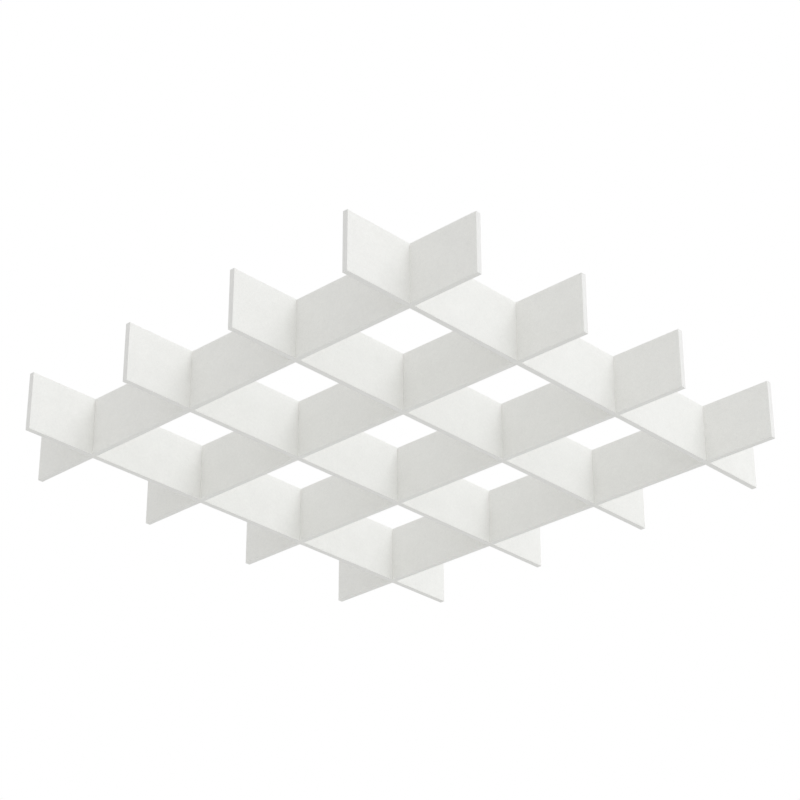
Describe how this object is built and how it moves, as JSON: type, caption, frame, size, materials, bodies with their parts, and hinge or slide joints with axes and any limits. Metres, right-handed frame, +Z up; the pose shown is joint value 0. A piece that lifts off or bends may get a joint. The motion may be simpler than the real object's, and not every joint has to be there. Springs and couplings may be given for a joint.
{
  "type": "felt lattice ceiling baffle",
  "caption": "Hanging acoustic ceiling baffle: an open square lattice of thick felt boards half-lapped into each other, with threaded inserts in its top edges for suspension wires.",
  "frame": {"origin": "middle of the lattice in the plane of its top edges, at the centre of the four suspension points", "axes": "+Z up towards the ceiling; X along the bearer slats, which are slotted from above and hold the inserts; Y along the cross slats, which are slotted from below"},
  "size_m": [1.2, 1.2, 0.125],
  "materials": {
    "felt": "needle-punched polyester felt board, matt",
    "insert_steel": "zinc-plated turned steel"
  },
  "bodies": {
    "root": {"bearer_slat_1": "felt", "bearer_slat_2": "felt", "bearer_slat_3": "felt", "bearer_slat_4": "felt", "cross_slat_1": "felt", "cross_slat_2": "felt", "cross_slat_3": "felt", "cross_slat_4": "felt", "suspension_insert_1": "insert_steel", "suspension_insert_2": "insert_steel", "suspension_insert_3": "insert_steel", "suspension_insert_4": "insert_steel"}
  },
  "joints": []
}
